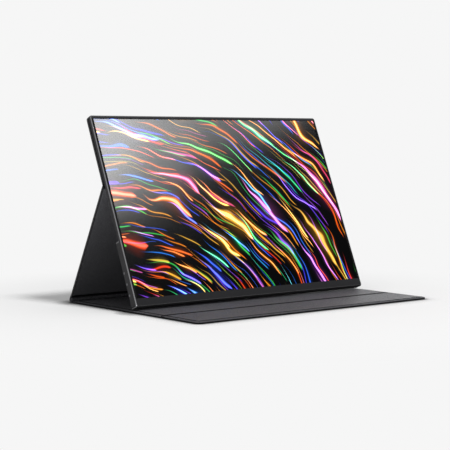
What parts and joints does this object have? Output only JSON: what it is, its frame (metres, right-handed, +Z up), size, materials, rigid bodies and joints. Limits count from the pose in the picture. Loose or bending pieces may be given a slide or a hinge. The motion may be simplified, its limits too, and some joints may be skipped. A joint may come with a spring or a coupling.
{
  "type": "portable monitor with folding cover",
  "caption": "Slim flat-screen portable monitor with a thicker lower back, leaning on its folded leathercloth cover, which props it from behind and runs out flat in front.",
  "frame": {"origin": "on the table, at the middle of the folded cover's width and depth", "axes": "+X across the screen to the viewer's right, +Y away from the viewer, +Z up"},
  "size_m": [0.354, 0.24, 0.2182],
  "materials": {
    "cover_leather": "fine grained black leathercloth",
    "cover_lining": "short nap lining, charcoal",
    "fibreboard": "plain board",
    "foam": "soft foam",
    "magnet": "nickel plated",
    "casing": "dark anodised, fine blasted",
    "frame_metal": "dark anodised with a bright cut bevel",
    "bezel_black": "black film",
    "chin_plastic": "fine textured",
    "screen": null,
    "panel_glass": "thin display glass",
    "film": "optical film",
    "white_plastic": "moulded white",
    "steel": "plain plated",
    "circuit_board": "green solder resist",
    "flex_cable": "flat flexible cable",
    "chip_black": "moulded black",
    "clear_plastic": "clear",
    "wire_rubber": "insulated lead",
    "button_metal": "satin"
  },
  "bodies": {
    "base": {"base_skin": "cover_leather", "base_board": "fibreboard", "base_lining": "cover_lining"},
    "front_flap": {"flap_skin": "cover_leather", "flap_board": "fibreboard", "flap_lining": "cover_lining", "flap_magnets": "magnet"},
    "spine": {"spine_skin": "cover_leather", "spine_foam": "foam"},
    "prop": {"prop_skin": "cover_leather", "prop_board": "fibreboard", "prop_lining": "cover_lining"},
    "upper_panel": {"upper_skin": "cover_leather", "upper_board": "fibreboard", "upper_lining": "cover_lining", "holding_magnets": "magnet"},
    "power_key": {"power_button": "button_metal"},
    "plus_key": {"plus_button": "button_metal"},
    "minus_key": {"minus_button": "button_metal"},
    "monitor": {"rear_shell": "casing", "mid_frame": "frame_metal", "front_bezel": "bezel_black", "chin_cover": "chin_plastic", "front_polarizer": "screen", "lcd_glass": "panel_glass", "rear_polarizer": "film", "prism_sheets": "film", "diffuser_sheet": "film", "light_guide": "film", "reflector_sheet": "white_plastic", "backlight_strip": "white_plastic", "panel_frame": "white_plastic", "panel_tray": "steel", "panel_driver_board": "circuit_board", "driver_flexes": "flex_cable", "steel_plates": "steel", "main_board": "circuit_board", "board_chips": "chip_black", "shield_can": "steel", "thermal_pad": "foam", "panel_socket": "white_plastic", "panel_cable": "flex_cable", "usb_c_ports": "steel", "hdmi_port": "steel", "audio_jack": "chip_black", "key_board": "circuit_board", "key_switches": "steel", "key_cable": "flex_cable", "light_pipe": "clear_plastic", "left_speaker": "chip_black", "right_speaker": "chip_black", "speaker_gaskets": "foam", "speaker_wires": "wire_rubber", "board_screws": "steel", "shell_screws": "steel"}
  },
  "joints": [
    {"name": "flap_fold", "type": "hinge", "parent": "base", "child": "front_flap", "pos_m": [0, -0.0578, 0.0028], "axis": [-1, 0, 0], "range_deg": [0, 90]},
    {"name": "stand_lean", "type": "hinge", "parent": "base", "child": "spine", "pos_m": [0, 0.1172, 0.0031], "axis": [1, 0, 0], "range_deg": [-8, 7]},
    {"name": "cover_open", "type": "hinge", "parent": "spine", "child": "prop", "pos_m": [0, 0.1172, 0.0031], "axis": [1, 0, 0], "range_deg": [-95, 0]},
    {"name": "back_fold", "type": "hinge", "parent": "prop", "child": "upper_panel", "pos_m": [0, 0.05241, 0.13927], "axis": [1, 0, 0], "range_deg": [-15.3, 17.4]},
    {"name": "monitor_lift", "type": "slide", "parent": "upper_panel", "child": "monitor", "axis": [0, -0.9205, 0.3907], "range_m": [0, 0.012]},
    {"name": "power_press", "type": "slide", "parent": "monitor", "child": "power_key", "axis": [1, 0, 0], "range_m": [0, 0.0004], "stiffness_N_per_m": 900, "springref_m": -0.0003},
    {"name": "plus_press", "type": "slide", "parent": "monitor", "child": "plus_key", "axis": [1, 0, 0], "range_m": [0, 0.0004], "stiffness_N_per_m": 900, "springref_m": -0.0003},
    {"name": "minus_press", "type": "slide", "parent": "monitor", "child": "minus_key", "axis": [1, 0, 0], "range_m": [0, 0.0004], "stiffness_N_per_m": 900, "springref_m": -0.0003}
  ],
  "couplings": [
    {"joint": "back_fold", "follows": "stand_lean", "ratio": -2.15}
  ]
}
